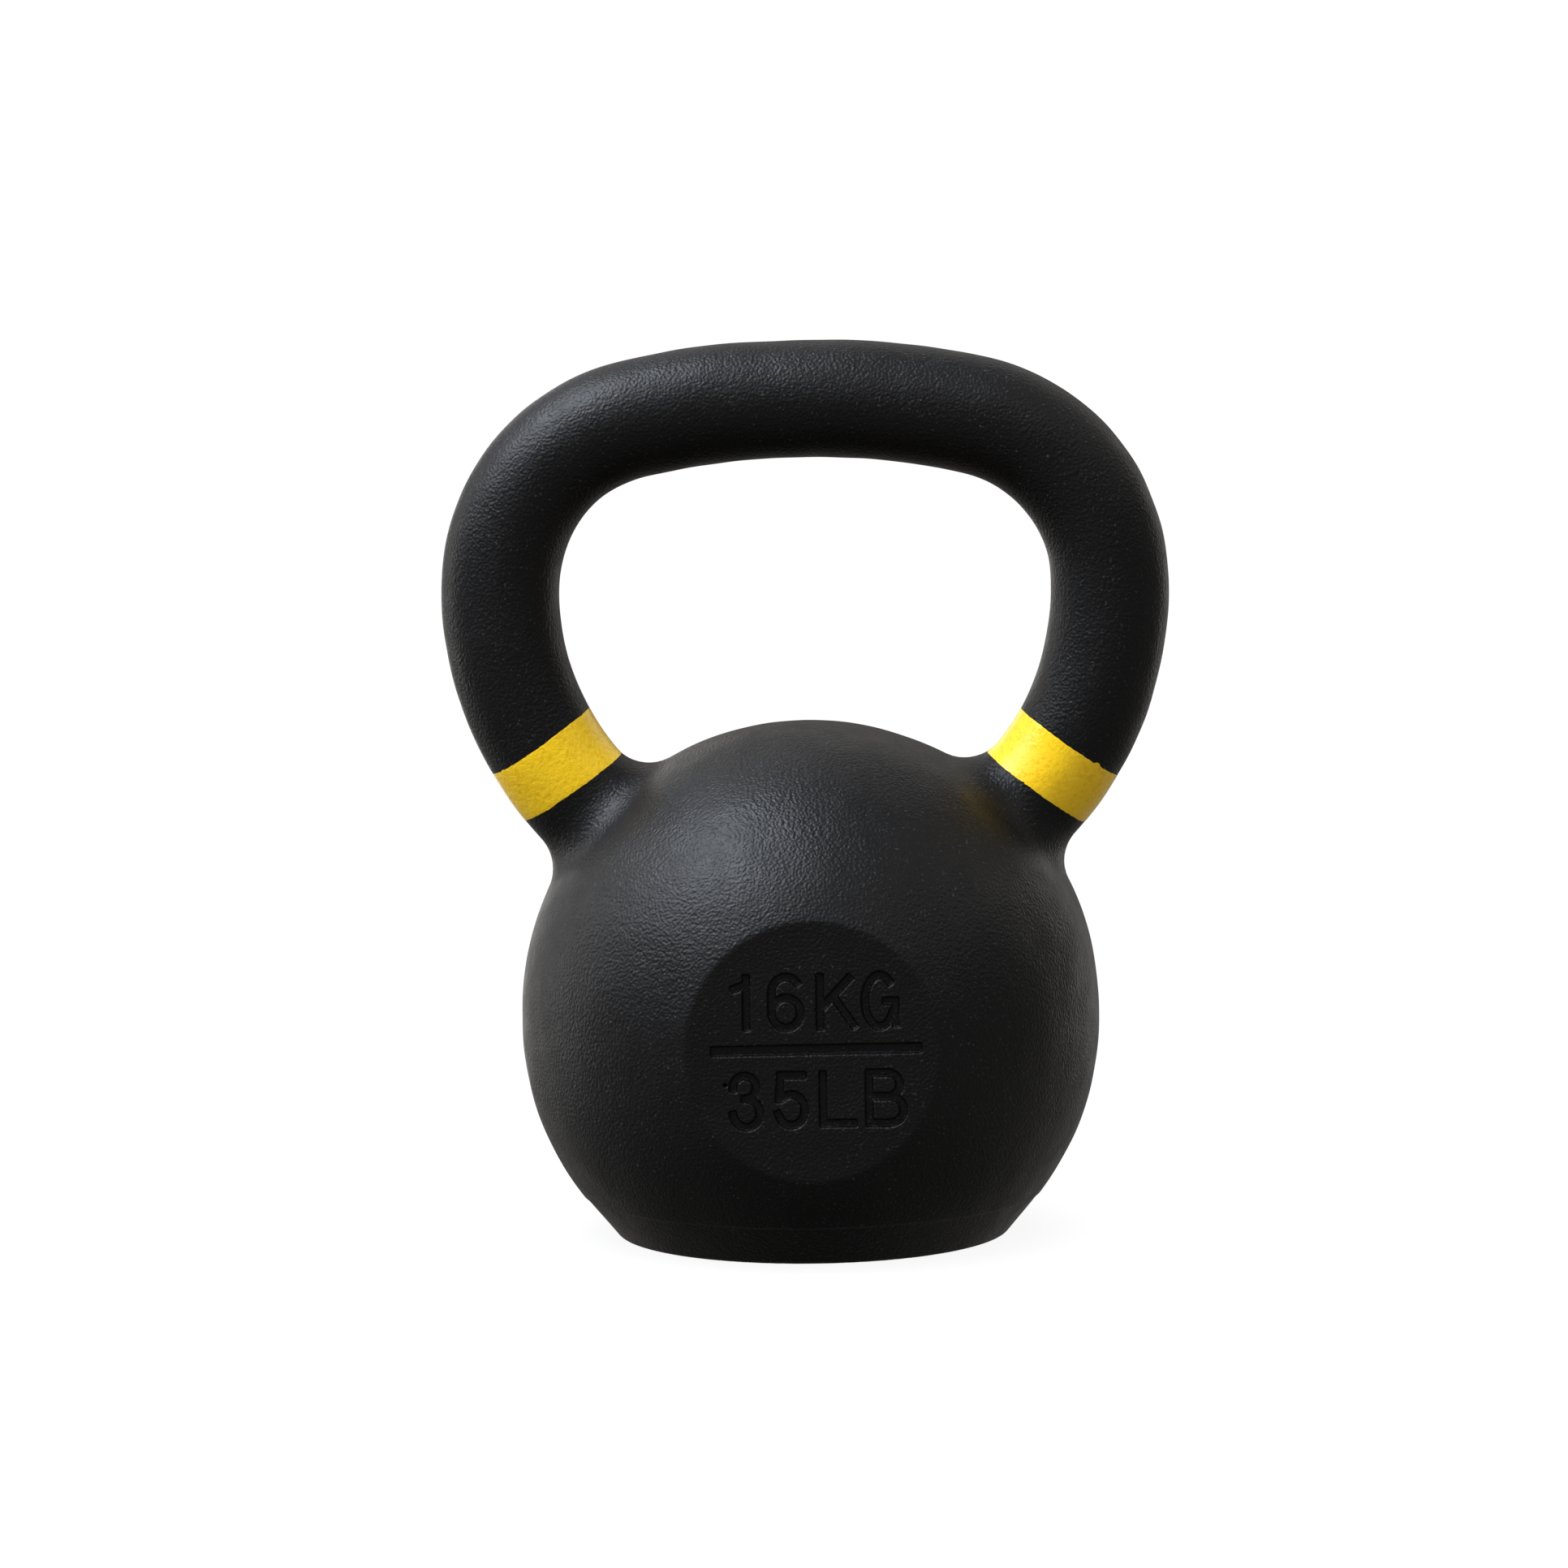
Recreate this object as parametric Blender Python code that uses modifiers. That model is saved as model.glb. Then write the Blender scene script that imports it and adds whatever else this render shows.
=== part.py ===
"""A 16 kg cast-iron kettlebell: one casting, and the painted colour band on each horn.

Frame: metres, +Z up, the origin at the middle of the flat base. The handle lies in the XZ plane,
and the flat face with the weight marking looks along -Y.
"""
import math

import bmesh
import bpy
from mathutils import Matrix, Vector

MM = 0.001

# Ball: two hemispheres with a short straight belt between them, and a conical skirt at the base.
BALL_RADIUS = 78.2 * MM
BELT_HEIGHT = 2.3 * MM
LOWER_CENTRE_HEIGHT = 58.4 * MM   # centre of the lower hemisphere, above the floor
BASE_RADIUS = 52.8 * MM           # where the skirt would meet the floor without its rounded rim
SKIRT_HEIGHT = 11.4 * MM
SKIRT_STEP = 0.3 * MM             # the skirt starts this far inside the ball
RIM_RADIUS = 1.8 * MM
BELT_CENTRE = LOWER_CENTRE_HEIGHT + BELT_HEIGHT / 2

# Handle: a round bar whose centreline follows three kinds of arc, each tangent to the next.
BAR_RADIUS = 15.85 * MM
GRIP_TOP = 226.2 * MM             # highest point of the centreline
GRIP_ARC_RADIUS = 213.5 * MM      # the nearly straight grip
CORNER_RADIUS = 46.6 * MM
CORNER_OFFSET = 35.4 * MM         # centre of a corner's arc, from the middle plane
HORN_CENTRE_DROP = 1.8 * MM       # both horns' arcs share a centre on the axis, this far below the corners'
HORN_ARC_RADIUS = CORNER_RADIUS + math.hypot(CORNER_OFFSET, HORN_CENTRE_DROP)

# Fillet where a horn flows into the ball.
FILLET_RADIUS = 11.7 * MM
FLARE_CUT_ANGLE = math.radians(12)  # the flare stops this far short of a tangent to the ball,
FLARE_OVERRUN = 1.2 * MM            # runs on straight, so that the two surfaces really cross,
HORN_END_DEPTH = 9.0 * MM           # and the bar ends this deep under the ball's surface

# Flat round face with the weight marking, cut into the front of the ball.
FACE_RADIUS = 33.4 * MM
FACE_DISTANCE = math.sqrt(BALL_RADIUS ** 2 - FACE_RADIUS ** 2)

# Colour bands: the middle of each along the horn's arc, measured from straight up.
BAND_ANGLES = {"colour_band_left": math.radians(-124.0), "colour_band_right": math.radians(125.7)}
BAND_WIDTH = 15.2 * MM
BAND_RECESS = 0.15 * MM           # the paint lies this far under the coated bar
BAND_THICKNESS = 0.6 * MM
GAP = 0.3 * MM                    # left between solids that touch

# Lettering: recessed strokes of one width. Its places and paths are in millimetres.
STROKE_WIDTH = 2.5
LETTER_DEPTH = 0.9 * MM
UPPER_BASELINE = 5.5
LOWER_BASELINE = -20.3
UPPER_LINE = (("1", -21.4), ("6", -11.7), ("K", 0.9), ("G", 12.7))
LOWER_LINE = (("3", -22.2), ("5", -10.4), ("L", 1.4), ("B", 13.6))
RULE_CENTRE = (1.1, 0.6)
RULE_LENGTH = 56.0
RULE_WIDTH = 3.3
RULE_TILT = math.radians(0.4)

# Fineness of the mesh.
BALL_STEPS = 60
HEMISPHERE_STEPS = 15
RIM_STEPS = 3
BAR_RESOLUTION = 12               # a round bar of 28 sides
BAR_TOLERANCE = 0.12 * MM         # how far a bent bar's chords may cut inside its outline
FLARE_STEPS = 5
LETTER_STEP = math.radians(24)
CUTTER_MARGIN = 3.0 * MM          # how far a cutter reaches past what it cuts
MERGE_DISTANCE = 0.01 * MM

COAT_COLOUR = (0.014, 0.014, 0.016, 1.0)
COAT_ROUGHNESS = 0.55
PAINT_COLOUR = (0.80, 0.55, 0.02, 1.0)
PAINT_ROUGHNESS = 0.4


# ---------------------------------------------------------------- scene helpers

def clear_scene():
    for item in list(bpy.data.objects):
        bpy.data.objects.remove(item, do_unlink=True)


def new_collection(name):
    collection = bpy.data.collections.new(name)
    bpy.context.scene.collection.children.link(collection)
    return collection


def new_material(name, colour, roughness):
    material = bpy.data.materials.new(name)
    material.use_nodes = True
    shader = material.node_tree.nodes["Principled BSDF"]
    shader.inputs["Base Color"].default_value = colour
    shader.inputs["Roughness"].default_value = roughness
    shader.inputs["Metallic"].default_value = 0.0
    return material


def new_object(name, mesh, collection):
    item = bpy.data.objects.new(name, mesh)
    collection.objects.link(item)
    return item


def new_cutter(name, mesh, collection):
    item = new_object(name, mesh, collection)
    item.hide_render = True
    item.display_type = "WIRE"
    return item


def add_boolean(target, cutter, operation):
    modifier = target.modifiers.new(cutter.name, "BOOLEAN")
    modifier.operation = operation
    modifier.solver = "EXACT"
    modifier.object = cutter


def bend_step(radius):
    """Turn between two sections of the bar on a bend of this centreline radius."""
    return 2 * math.acos(1 - BAR_TOLERANCE / (radius + BAR_RADIUS))


def spread(start, end, step):
    """Evenly spaced values from start to end, no further apart than step."""
    count = max(1, math.ceil(abs(end - start) / step))
    return [start + (end - start) * index / count for index in range(count + 1)]


# ---------------------------------------------------------------- ball

def ball_outline():
    """Half section of the ball as (radius, height), from the top down to the middle of the base."""
    upper_centre = LOWER_CENTRE_HEIGHT + BELT_HEIGHT
    quarter = math.pi / 2
    step = quarter / HEMISPHERE_STEPS
    skirt_angle = math.asin((LOWER_CENTRE_HEIGHT - SKIRT_HEIGHT) / BALL_RADIUS)
    skirt_radius = BALL_RADIUS * math.cos(skirt_angle) - SKIRT_STEP
    slope = math.atan2(SKIRT_HEIGHT, skirt_radius - BASE_RADIUS)
    rim_centre = BASE_RADIUS - RIM_RADIUS * math.tan(slope / 2)

    outline = [(BALL_RADIUS * math.cos(angle), upper_centre + BALL_RADIUS * math.sin(angle))
               for angle in spread(quarter, 0.0, step)]
    outline += [(BALL_RADIUS * math.cos(angle), LOWER_CENTRE_HEIGHT - BALL_RADIUS * math.sin(angle))
                for angle in spread(0.0, skirt_angle, step)]
    outline.append((skirt_radius, SKIRT_HEIGHT - SKIRT_STEP))
    outline += [(rim_centre + RIM_RADIUS * math.sin(angle), RIM_RADIUS * (1 - math.cos(angle)))
                for angle in spread(slope, 0.0, slope / RIM_STEPS)]
    outline.append((0.0, 0.0))
    return outline


def make_ball(collection):
    sheet = bmesh.new()
    corners = [sheet.verts.new((radius, 0, height)) for radius, height in ball_outline()]
    for upper, lower in zip(corners, corners[1:]):
        sheet.edges.new((upper, lower))
    mesh = bpy.data.meshes.new("bell_casting")
    sheet.to_mesh(mesh)
    sheet.free()
    ball = new_object("bell_casting", mesh, collection)
    screw = ball.modifiers.new("turned", "SCREW")
    screw.steps = BALL_STEPS
    screw.render_steps = BALL_STEPS
    screw.use_merge_vertices = True
    screw.merge_threshold = MERGE_DISTANCE
    screw.use_smooth_shade = True
    return ball


# ---------------------------------------------------------------- handle

def on_arc(centre_x, centre_z, radius, angle):
    """Point of an arc in the XZ plane, its angle measured from straight up towards +X."""
    return Vector((centre_x + radius * math.sin(angle), 0, centre_z + radius * math.cos(angle)))


def grip_end_angle():
    return math.asin(CORNER_OFFSET / (GRIP_ARC_RADIUS - CORNER_RADIUS))


def corner_end_angle():
    return math.atan2(CORNER_OFFSET, HORN_CENTRE_DROP)


def corner_height():
    reach = GRIP_ARC_RADIUS - CORNER_RADIUS
    return GRIP_TOP - GRIP_ARC_RADIUS + reach * math.cos(grip_end_angle())


def horn_height():
    return corner_height() - HORN_CENTRE_DROP


def on_horn(angle):
    return on_arc(0, horn_height(), HORN_ARC_RADIUS, angle)


def horn_angle_at(distance):
    """Where the horn's arc is this far from the middle of the ball."""
    rise = horn_height() - BELT_CENTRE
    cosine = (distance ** 2 - HORN_ARC_RADIUS ** 2 - rise ** 2) / (2 * HORN_ARC_RADIUS * rise)
    return math.acos(cosine)


def flare_start():
    """Distance from the middle of the ball at which the fillet begins to widen the horn."""
    return math.sqrt((BALL_RADIUS + FILLET_RADIUS) ** 2 - (BAR_RADIUS + FILLET_RADIUS) ** 2)


def flare_stations():
    """(distance from the middle of the ball, radius) along the flare and on into the ball."""
    start = flare_start()
    turn = math.pi / 2 - math.atan2(BAR_RADIUS + FILLET_RADIUS, start) - FLARE_CUT_ANGLE
    stations = [(start - FILLET_RADIUS * math.sin(angle), BAR_RADIUS + FILLET_RADIUS * (1 - math.cos(angle)))
                for angle in spread(0.0, turn, turn / FLARE_STEPS)]
    distance, radius = stations[-1]
    widest = radius + FLARE_OVERRUN * math.tan(turn)
    stations.append((distance - FLARE_OVERRUN, widest))
    stations.append((BALL_RADIUS - HORN_END_DEPTH, widest))
    return stations


def half_handle():
    """(point, radius) along the right half of the bar, from the top to the end in the ball."""
    grip_end = grip_end_angle()
    corner_end = corner_end_angle()
    points = [on_arc(0, GRIP_TOP - GRIP_ARC_RADIUS, GRIP_ARC_RADIUS, angle)
              for angle in spread(0.0, grip_end, bend_step(GRIP_ARC_RADIUS))]
    points += [on_arc(CORNER_OFFSET, corner_height(), CORNER_RADIUS, angle)
               for angle in spread(grip_end, corner_end, bend_step(CORNER_RADIUS))[1:]]
    points += [on_horn(angle) for angle in
               spread(corner_end, horn_angle_at(flare_start()), bend_step(HORN_ARC_RADIUS))[1:-1]]
    flare = [(on_horn(horn_angle_at(distance)), radius) for distance, radius in flare_stations()]
    return [(point, BAR_RADIUS) for point in points] + flare


def swept_bar(name, stations, has_caps):
    """A round bar through the stations, each a point and a radius, as a mesh."""
    curve = bpy.data.curves.new(name, "CURVE")
    curve.dimensions = "3D"
    curve.bevel_depth = 1.0
    curve.bevel_resolution = BAR_RESOLUTION
    curve.use_fill_caps = has_caps
    spline = curve.splines.new("POLY")
    spline.points.add(len(stations) - 1)
    for knot, (point, radius) in zip(spline.points, stations):
        knot.co = (*point, 1)
        knot.radius = radius
    sketch = new_object(name, curve, bpy.context.scene.collection)
    evaluated = sketch.evaluated_get(bpy.context.evaluated_depsgraph_get())
    mesh = bpy.data.meshes.new_from_object(evaluated)
    bpy.data.objects.remove(sketch, do_unlink=True)
    bpy.data.curves.remove(curve)
    weld(mesh)
    mesh.shade_smooth()
    return mesh


def weld(mesh):
    sheet = bmesh.new()
    sheet.from_mesh(mesh)
    bmesh.ops.remove_doubles(sheet, verts=sheet.verts, dist=MERGE_DISTANCE)
    sheet.to_mesh(mesh)
    sheet.free()


def make_handle(collection):
    right = half_handle()
    left = [(Vector((-point.x, 0, point.z)), radius) for point, radius in right]
    return new_cutter("handle_bar", swept_bar("handle_bar", left[:0:-1] + right, True), collection)


# ---------------------------------------------------------------- flat face

def make_face_cutter(collection):
    """A block in front of the flat face."""
    size = 2 * (FACE_RADIUS + CUTTER_MARGIN)
    sheet = bmesh.new()
    bmesh.ops.create_cube(sheet, size=size)
    bmesh.ops.translate(sheet, verts=sheet.verts, vec=(0, -FACE_DISTANCE - size / 2, BELT_CENTRE))
    mesh = bpy.data.meshes.new("face_cutter")
    sheet.to_mesh(mesh)
    sheet.free()
    return new_cutter("face_cutter", mesh, collection)


# ---------------------------------------------------------------- lettering

def bow(centre, radii, start, end):
    """Points of an elliptical arc in a character's plane, with its angles in degrees."""
    angles = spread(math.radians(start), math.radians(end), LETTER_STEP)
    return [(centre[0] + radii[0] * math.cos(angle), centre[1] + radii[1] * math.sin(angle))
            for angle in angles]


def character_strokes():
    """Pen paths of each character, from its lower left corner."""
    return {
        "1": [[(1.2, 11.4), (4.3, 12.5)], [(4.3, 1.25), (4.3, 14.2)]],
        "6": [bow((5.0, 10.0), (3.75, 4.45), 40, 180) + [(1.25, 5.0)],
              bow((5.0, 4.95), (3.75, 4.0), 180, 540)],
        "K": [[(1.3, 1.25), (1.3, 14.3)], [(1.3, 5.7), (8.9, 13.9)], [(5.4, 8.3), (10.0, 1.5)]],
        "G": [bow((5.1, 7.85), (3.85, 6.8), 48, 335), [(6.8, 7.75), (9.2, 7.75), (9.2, 1.9)]],
        "3": [bow((4.4, 11.1), (3.0, 3.05), 185, -90),
              bow((4.8, 4.3), (3.5, 3.75), 90, -174)],
        "5": [[(7.8, 14.2), (2.0, 14.2), (1.6, 7.9)] + bow((4.75, 5.0), (3.55, 4.1), 130, -165)],
        "L": [[(1.3, 14.3), (1.3, 1.35), (9.2, 1.35)]],
        "B": [[(1.25, 14.6)] + bow((6.0, 11.45), (3.2, 3.15), 90, -90) + [(1.25, 8.3)],
              [(1.25, 8.3)] + bow((6.6, 4.8), (3.6, 3.5), 90, -90) + [(1.25, 1.3)],
              [(1.25, 1.3), (1.25, 14.6)]],
    }


def lengthened(path, extra):
    """The path with both of its ends moved outwards."""
    points = [Vector(point) for point in path]
    points[0] += (points[0] - points[1]).normalized() * extra
    points[-1] += (points[-1] - points[-2]).normalized() * extra
    return points


def stroke_cutter(name, path, width, collection):
    """A wall along the path, as wide as the pen, from in front of the face to the letter's depth."""
    is_closed = (Vector(path[0]) - Vector(path[-1])).length < MERGE_DISTANCE
    points = [Vector(point) for point in path[:-1]] if is_closed else lengthened(path, width / 2)
    sheet = bmesh.new()
    front = [sheet.verts.new((x * MM, -FACE_DISTANCE - CUTTER_MARGIN, BELT_CENTRE + z * MM))
             for x, z in points]
    back = [sheet.verts.new((vertex.co.x, -FACE_DISTANCE + LETTER_DEPTH, vertex.co.z)) for vertex in front]
    last = len(points) if is_closed else len(points) - 1
    for index in range(last):
        after = (index + 1) % len(points)
        sheet.faces.new((front[index], front[after], back[after], back[index]))
    mesh = bpy.data.meshes.new(name)
    sheet.to_mesh(mesh)
    sheet.free()
    cutter = new_cutter(name, mesh, collection)
    wall = cutter.modifiers.new("pen_width", "SOLIDIFY")
    wall.thickness = width * MM
    wall.offset = 0.0
    wall.use_even_offset = True
    return cutter


def make_lettering(collection):
    strokes = character_strokes()
    for baseline, line in ((UPPER_BASELINE, UPPER_LINE), (LOWER_BASELINE, LOWER_LINE)):
        for character, left in line:
            for index, path in enumerate(strokes[character]):
                placed = [(x + left, z + baseline) for x, z in path]
                stroke_cutter(f"stroke_{character}_{index}", placed, STROKE_WIDTH, collection)
    half = (RULE_LENGTH - RULE_WIDTH) / 2
    reach = (half * math.cos(RULE_TILT), half * math.sin(RULE_TILT))
    ends = [(RULE_CENTRE[0] + side * reach[0], RULE_CENTRE[1] + side * reach[1]) for side in (-1, 1)]
    stroke_cutter("stroke_rule", ends, RULE_WIDTH, collection)


def cut_collection(target, collection):
    modifier = target.modifiers.new(collection.name, "BOOLEAN")
    modifier.operation = "DIFFERENCE"
    modifier.solver = "EXACT"
    modifier.operand_type = "COLLECTION"
    modifier.collection = collection


# ---------------------------------------------------------------- colour bands

def sleeve(name, angle, outer, inner, width, collection, cutters):
    """A sleeve round the horn at the angle, between two parallel planes a width apart."""
    reach = (width / 2 + CUTTER_MARGIN) / (HORN_ARC_RADIUS - outer)
    stations = [(on_horn(place), outer)
                for place in spread(angle - reach, angle + reach, bend_step(HORN_ARC_RADIUS))]
    item = new_object(name, swept_bar(name, stations, False), collection)
    wall = item.modifiers.new("wall", "SOLIDIFY")
    wall.thickness = outer - inner
    wall.offset = -1.0
    wall.use_even_offset = True
    add_boolean(item, make_slab(name + "_slab", angle, outer, width, cutters), "INTERSECT")
    return item


def make_slab(name, angle, outer, width, cutters):
    """A flat block square to the horn, which trims a sleeve to its width."""
    breadth = 2 * (outer + CUTTER_MARGIN)
    sheet = bmesh.new()
    bmesh.ops.create_cube(sheet, size=1.0, matrix=Matrix.Diagonal((width, breadth, breadth, 1.0)))
    turn = Matrix.Rotation(angle, 4, "Y")
    bmesh.ops.transform(sheet, verts=sheet.verts, matrix=Matrix.Translation(on_horn(angle)) @ turn)
    mesh = bpy.data.meshes.new(name)
    sheet.to_mesh(mesh)
    sheet.free()
    return new_cutter(name, mesh, cutters)


def make_band(name, angle, casting, parts, cutters, paint):
    groove_radius = BAR_RADIUS - BAND_RECESS - BAND_THICKNESS - GAP
    groove = sleeve(name + "_groove", angle, BAR_RADIUS + CUTTER_MARGIN, groove_radius,
                    BAND_WIDTH + 2 * GAP, cutters, cutters)
    groove.hide_render = True
    groove.display_type = "WIRE"
    add_boolean(casting, groove, "DIFFERENCE")
    outer = BAR_RADIUS - BAND_RECESS
    band = sleeve(name, angle, outer, outer - BAND_THICKNESS, BAND_WIDTH, parts, cutters)
    band.data.materials.append(paint)


# ---------------------------------------------------------------- kettlebell

def make_kettlebell():
    clear_scene()
    parts = new_collection("kettlebell")
    cutters = new_collection("cutters")
    lettering = new_collection("lettering")
    coat = new_material("black_powder_coat", COAT_COLOUR, COAT_ROUGHNESS)
    paint = new_material("yellow_band_paint", PAINT_COLOUR, PAINT_ROUGHNESS)

    casting = make_ball(parts)
    casting.data.materials.append(coat)
    add_boolean(casting, make_handle(cutters), "UNION")
    add_boolean(casting, make_face_cutter(cutters), "DIFFERENCE")
    make_lettering(lettering)
    cut_collection(casting, lettering)
    for name, angle in BAND_ANGLES.items():
        make_band(name, angle, casting, parts, cutters, paint)


make_kettlebell()
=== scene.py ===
"""Looks of a 16 kg cast-iron kettlebell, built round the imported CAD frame.

The shape is described by distance functions in millimetres: the ball, the bent bar, the fillets between
them, the flat face with its recessed marking, and the base. A mesh grown from the CAD casting is fitted
onto that surface and refined where it bends sharply.
"""
import math

import bmesh
import bpy
import numpy as np
from mathutils import Matrix, Vector


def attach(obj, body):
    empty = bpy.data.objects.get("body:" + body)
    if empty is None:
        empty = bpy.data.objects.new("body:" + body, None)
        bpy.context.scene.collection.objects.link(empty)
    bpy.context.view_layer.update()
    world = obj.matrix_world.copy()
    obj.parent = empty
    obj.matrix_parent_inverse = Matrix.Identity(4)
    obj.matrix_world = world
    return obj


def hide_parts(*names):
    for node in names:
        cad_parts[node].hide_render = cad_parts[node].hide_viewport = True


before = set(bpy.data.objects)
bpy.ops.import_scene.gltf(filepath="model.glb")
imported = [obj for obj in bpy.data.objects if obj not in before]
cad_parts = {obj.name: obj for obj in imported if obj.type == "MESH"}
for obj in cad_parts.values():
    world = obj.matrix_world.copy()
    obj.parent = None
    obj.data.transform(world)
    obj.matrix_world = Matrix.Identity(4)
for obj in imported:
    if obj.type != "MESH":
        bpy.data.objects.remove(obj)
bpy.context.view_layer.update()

MM = 0.001

# ---------------------------------------------------------------- sizes, in millimetres
BALL_RADIUS = 78.2
LOWER_CENTRE = 58.4
UPPER_CENTRE = 60.7
BELT_CENTRE = (LOWER_CENTRE + UPPER_CENTRE) / 2
BASE_RADIUS = 52.8
SKIRT_HEIGHT = 11.4
SKIRT_STEP = 0.3
RIM_RADIUS = 1.8

BAR_RADIUS = 15.85
GRIP_TOP = 226.2
GRIP_ARC = 213.5
CORNER_ARC = 46.6
CORNER_OFFSET = 35.4
HORN_DROP = 1.8
HORN_ARC = CORNER_ARC + math.hypot(CORNER_OFFSET, HORN_DROP)
GRIP_CENTRE_Z = GRIP_TOP - GRIP_ARC
GRIP_END = math.asin(CORNER_OFFSET / (GRIP_ARC - CORNER_ARC))
CORNER_END = math.atan2(CORNER_OFFSET, HORN_DROP)
CORNER_Z = GRIP_CENTRE_Z + (GRIP_ARC - CORNER_ARC) * math.cos(GRIP_END)
HORN_Z = CORNER_Z - HORN_DROP
FILLET_RADIUS = 11.7

FACE_RADIUS = 33.4
FACE_DISTANCE = math.sqrt(BALL_RADIUS ** 2 - FACE_RADIUS ** 2)
FACE_EDGE_RADIUS = 2.2
FACE_MARGIN = 1.5

# A stroke drops by a shallow lip, then by a steep wall that ends LETTER_WALL inside its edge.
LETTER_DEPTH = 1.25
LETTER_WALL = 0.50
LETTER_LIP_WIDTH = 0.24
LETTER_LIP_DEPTH = 0.18
PEN_WIDTH = 2.70
PEN_CORNER = 0.8

BAND_ANGLES = {"colour_band_left": math.radians(-124.0), "colour_band_right": math.radians(125.7)}
BAND_WIDTH = 15.2
PAINT_PROUD = 0.05
PAINT_LIP = 0.015
PAINT_EDGE_WIDTH = 0.5
PAINT_SHARP_ANGLE = math.radians(40.0)
PAINT_DEPTH = 0.45
BAND_AROUND, BAND_ACROSS = 360, 30

# The hand-held tape's own stray from straight: (waves round the horn, height in millimetres).
TAPE_STRAY = ((2, 0.10), (3, 0.08), (7, 0.04), (13, 0.03), (29, 0.03), (47, 0.03))

# Where the masking tape let the paint creep past its edge: the band, the edge (-1 or 1 along the horn),
# degrees round the horn (0 outside, 270 in front), width in degrees and height in millimetres.
PAINT_CREEPS = (
    ("colour_band_right", -1, 302.0, 3.2, 0.62),
    ("colour_band_left", 1, 320.0, 2.6, 0.22),
    ("colour_band_left", -1, 296.0, 5.0, 0.15),
)

# The casting's slow waves: (wavelength, height, random seed). Each is a sum of WAVE_COUNT sine waves in
# random directions, with pitches from LOWEST_PITCH to HIGHEST_PITCH times its own. They fade in above
# the base.
CASTING_WAVES = ((38.0, 0.10, 5), (15.0, 0.035, 6))
WAVE_COUNT = 24
LOWEST_PITCH, HIGHEST_PITCH = 0.7, 1.4
WAVES_START = 3.0
WAVES_FADE = 12.0

# Mesh fineness: the remesh voxel, and the longest edge in each place with how far that place reaches.
VOXEL = 1.6
PLAIN_EDGE = 3.0
FACE_RIM_EDGE, FACE_RIM_REACH = 0.75, 1.6
SKIRT_TOP_EDGE, SKIRT_TOP_REACH = 0.55, 0.7
BASE_RIM_EDGE, BASE_RIM_HEIGHT, BASE_RIM_REACH = 0.8, 1.6, 3.0
LETTER_EDGE, LETTER_EDGE_GROWTH = 0.27, 1.1
EDGE_SLACK = 1.35
REFINE_PASSES = 4

FRONT_ZONE = 50.0          # the flat face and its edge lie this far forward, and within this of its middle
LONGEST_MOVE = 2.0         # a point moves at most this far in one fitting step
ROLL_STEPS = 6             # steps that place the ball rolled along an inside edge
PARALLEL_LIMIT = 1e-3      # keeps those steps finite where the two surfaces run parallel
FLOAT_TINY = 1e-9          # keeps a division by a length finite


# ---------------------------------------------------------------- distance functions
# Each takes points (n, 3) and gives (distance, gradient); outside is positive.

def ball(p):
    """Two hemispheres with a short belt between them."""
    nearest = np.zeros_like(p)
    nearest[:, 2] = np.clip(p[:, 2], LOWER_CENTRE, UPPER_CENTRE)
    away = p - nearest
    length = np.linalg.norm(away, axis=1) + FLOAT_TINY
    return length - BALL_RADIUS, away / length[:, None]


def bar(p):
    """A round bar bent along one arc for the grip, one for each corner and one for each horn."""
    side = np.where(p[:, 0] < 0, -1.0, 1.0)
    x, z = np.abs(p[:, 0]), p[:, 2]
    turn = np.arctan2(x - CORNER_OFFSET, z - CORNER_Z)
    grip = (turn < GRIP_END) & (turn > -math.pi / 2)
    horn = (turn > CORNER_END) | (turn <= -math.pi / 2)
    centre_x = np.where(grip | horn, 0.0, CORNER_OFFSET)
    centre_z = np.where(grip, GRIP_CENTRE_Z, np.where(horn, HORN_Z, CORNER_Z))
    radius = np.where(grip, GRIP_ARC, np.where(horn, HORN_ARC, CORNER_ARC))
    dx, dz = x - centre_x, z - centre_z
    reach = np.hypot(dx, dz) + FLOAT_TINY
    off = reach - radius
    length = np.hypot(off, p[:, 1]) + FLOAT_TINY
    gradient = np.stack([off * dx / reach * side, p[:, 1], off * dz / reach], 1) / length[:, None]
    return length - BAR_RADIUS, gradient


def face(p):
    """Everything in front of the flat face's plane is outside."""
    gradient = np.zeros_like(p)
    gradient[:, 1] = -1.0
    return -p[:, 1] - FACE_DISTANCE, gradient


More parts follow.
